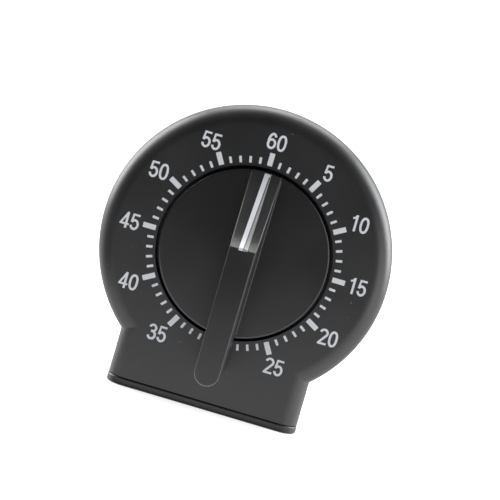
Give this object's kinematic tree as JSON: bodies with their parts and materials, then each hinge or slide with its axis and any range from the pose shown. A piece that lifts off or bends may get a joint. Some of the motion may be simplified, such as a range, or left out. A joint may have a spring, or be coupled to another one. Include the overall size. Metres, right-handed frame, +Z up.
{
  "type": "kitchen timer",
  "caption": "Wind-up kitchen timer: round case on a square foot, minute scale on the face and a central knob with a finger bar over a spring-driven movement and bell.",
  "frame": {"origin": "middle of the flat underside of the foot, half way through the depth of the case", "axes": "+Z up through the knob's axis, face and knob look along -Y, +X to the right seen from the front"},
  "size_m": [0.0676, 0.0485, 0.0714],
  "materials": {
    "case_plastic": "fine matt moulded",
    "knob_plastic": "fine matt moulded",
    "pointer_white": "white printed ridge",
    "brass": "stamped",
    "steel": "turned",
    "spring_steel": "blued",
    "bell_steel": "nickel plated"
  },
  "bodies": {
    "case": {"front_housing": "case_plastic", "rear_cover": "case_plastic", "base_foot": "case_plastic", "cover_screws": "steel", "base_screws": "steel", "front_plate": "brass", "rear_plate": "brass", "plate_pillars": "steel", "pillar_screws": "steel", "movement_screws": "steel", "mainspring": "spring_steel", "spring_post": "steel", "hairspring": "spring_steel", "hairspring_stud": "steel", "bell": "bell_steel", "bell_post": "steel", "bell_nut": "steel"},
    "knob": {"dial_knob": "knob_plastic", "pointer_ridge": "pointer_white", "main_arbor": "steel", "alarm_cam": "steel", "clutch_spring": "spring_steel"},
    "main_wheel": {"main_wheel": "brass"},
    "second_wheel": {"second_pinion": "steel", "second_wheel": "brass"},
    "third_wheel": {"third_pinion": "steel", "third_wheel": "brass"},
    "escape_wheel": {"escape_pinion": "steel", "escape_wheel": "brass"},
    "pallet_lever": {"pallet_lever": "steel", "pallet_pins": "steel", "pallet_arbor": "steel"},
    "balance": {"balance_wheel": "brass", "balance_staff": "steel"},
    "alarm_lever": {"alarm_lever": "steel", "alarm_arbor": "steel"},
    "hammer": {"hammer": "steel", "hammer_arbor": "steel"}
  },
  "joints": [
    {"name": "knob_turn", "type": "hinge", "parent": "case", "child": "knob", "pos_m": [0, 0, 0.0376], "axis": [0, 1, 0], "range_deg": [0, 360], "deforming": ["mainspring"]},
    {"name": "main_wheel_turn", "type": "hinge", "parent": "case", "child": "main_wheel", "pos_m": [0, 0, 0.0376], "axis": [0, 1, 0], "continuous": true},
    {"name": "second_wheel_turn", "type": "hinge", "parent": "case", "child": "second_wheel", "pos_m": [-0.01146, 0, 0.02614], "axis": [0, 1, 0], "continuous": true},
    {"name": "third_wheel_turn", "type": "hinge", "parent": "case", "child": "third_wheel", "pos_m": [-0.0031, 0, 0.02029], "axis": [0, 1, 0], "continuous": true},
    {"name": "escape_wheel_turn", "type": "hinge", "parent": "case", "child": "escape_wheel", "pos_m": [0.00466, 0, 0.02163], "axis": [0, 1, 0], "continuous": true},
    {"name": "balance_swing", "type": "hinge", "parent": "case", "child": "balance", "pos_m": [0.01577, 0, 0.03256], "axis": [0, 1, 0], "range_deg": [-25, 25], "stiffness_Nm_per_rad": 0.000008, "deforming": ["hairspring"]},
    {"name": "pallet_lever_rock", "type": "hinge", "parent": "case", "child": "pallet_lever", "pos_m": [0.01077, 0, 0.0239], "axis": [0, 1, 0], "range_deg": [-6, 6]},
    {"name": "alarm_lever_drop", "type": "hinge", "parent": "case", "child": "alarm_lever", "pos_m": [-0.0135, 0, 0.0471], "axis": [0, 1, 0], "range_deg": [0, 4.8]},
    {"name": "hammer_swing", "type": "hinge", "parent": "case", "child": "hammer", "pos_m": [-0.01, 0, 0.0186], "axis": [0, 1, 0], "range_deg": [-3.3, 3.3], "stiffness_Nm_per_rad": 0.005}
  ],
  "couplings": [
    {"joint": "main_wheel_turn", "follows": "knob_turn", "ratio": 1},
    {"joint": "second_wheel_turn", "follows": "knob_turn", "ratio": -8},
    {"joint": "third_wheel_turn", "follows": "knob_turn", "ratio": 60},
    {"joint": "escape_wheel_turn", "follows": "knob_turn", "ratio": -480},
    {"joint": "pallet_lever_rock", "follows": "balance_swing", "ratio": -0.235}
  ]
}
